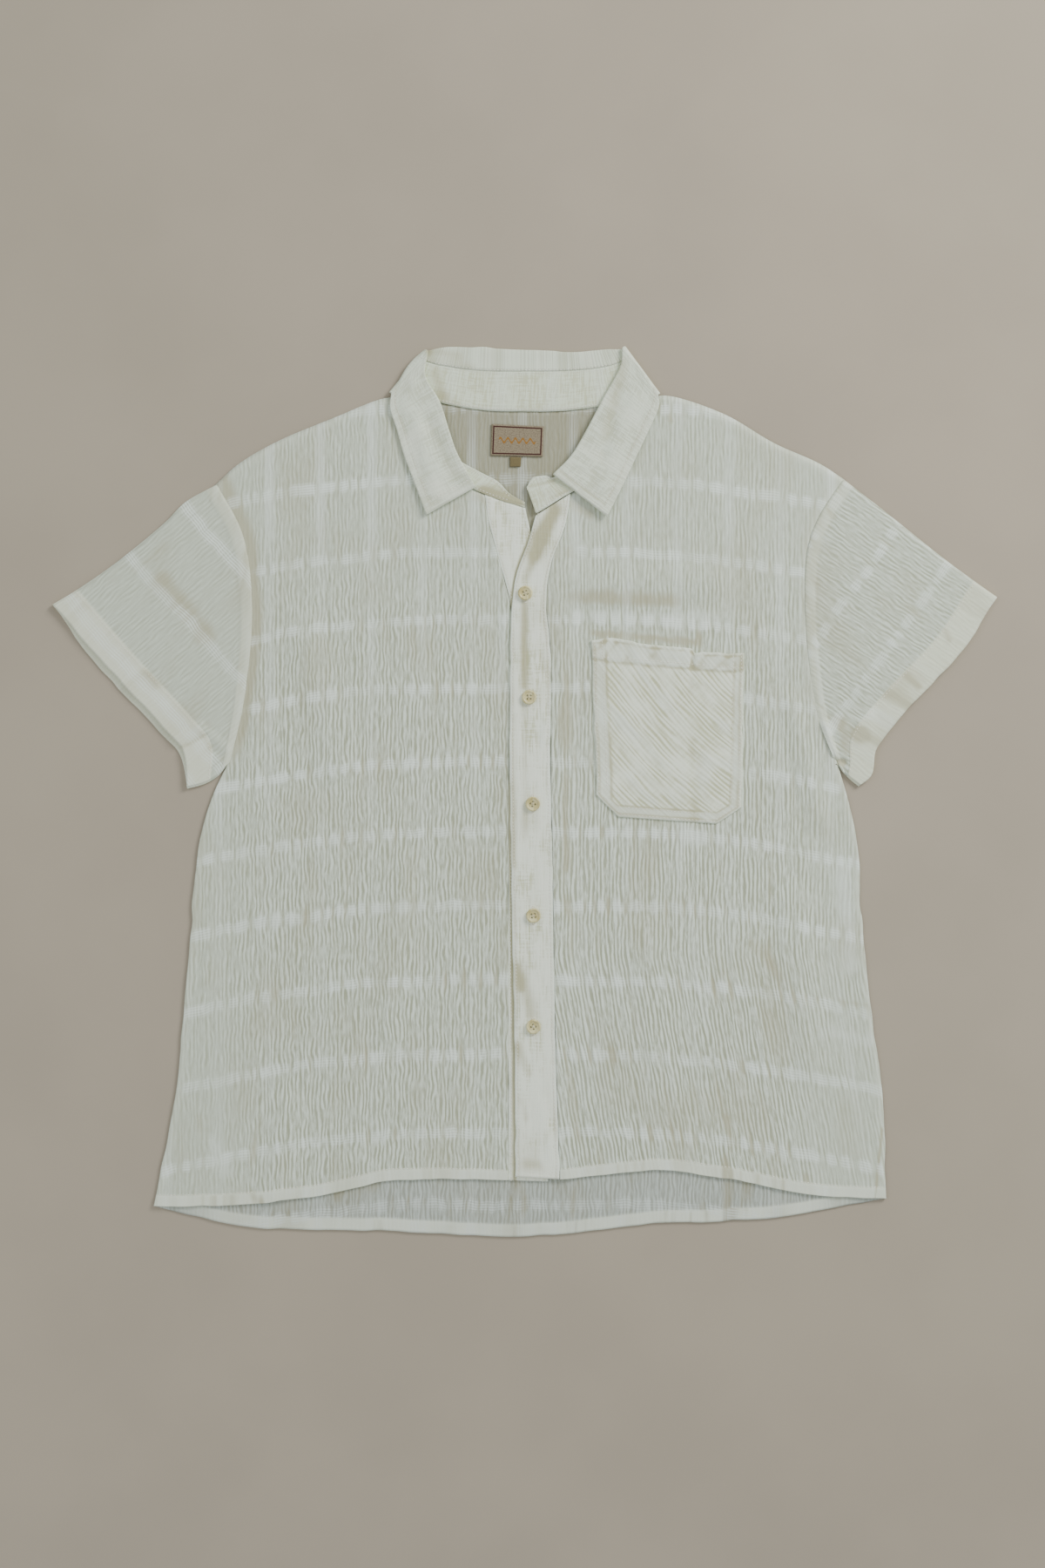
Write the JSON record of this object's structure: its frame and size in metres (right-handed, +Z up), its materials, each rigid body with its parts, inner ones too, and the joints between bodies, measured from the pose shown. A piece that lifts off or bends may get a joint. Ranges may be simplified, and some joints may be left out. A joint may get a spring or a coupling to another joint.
{
  "type": "short-sleeve shirt laid flat",
  "caption": "Boxy short-sleeve button-front shirt in ivory crinkled cotton gauze, with a collar and chest pocket, laid flat on its back.",
  "frame": {"origin": "middle of the whole outline, on the surface the shirt lies on", "axes": "+X to the wearer's left along the sleeve span, +Y from hem to collar, +Z up through the layers from back to front"},
  "size_m": [0.7577, 0.7152, 0.0076],
  "materials": {
    "gauze": "semi-sheer crinkled cotton gauze with tonal rib checks, matt",
    "doubled_gauze": "the same gauze in two layers, more opaque and creamier",
    "label": "woven beige label with a reddish brown frame",
    "tab": "folded woven tape in ochre",
    "button": "pale horn-coloured resin, soft gloss"
  },
  "bodies": {
    "root": {"back": "gauze", "front_right": "gauze", "front_left": "gauze", "sleeve_right": "gauze", "sleeve_left": "gauze", "button_band": "doubled_gauze", "placket": "doubled_gauze", "pocket": "doubled_gauze", "collar_stand": "doubled_gauze", "collar": "doubled_gauze", "neck_label": "label", "size_tab": "tab", "button_1": "button", "button_2": "button", "button_3": "button", "button_4": "button", "button_5": "button"}
  },
  "joints": []
}
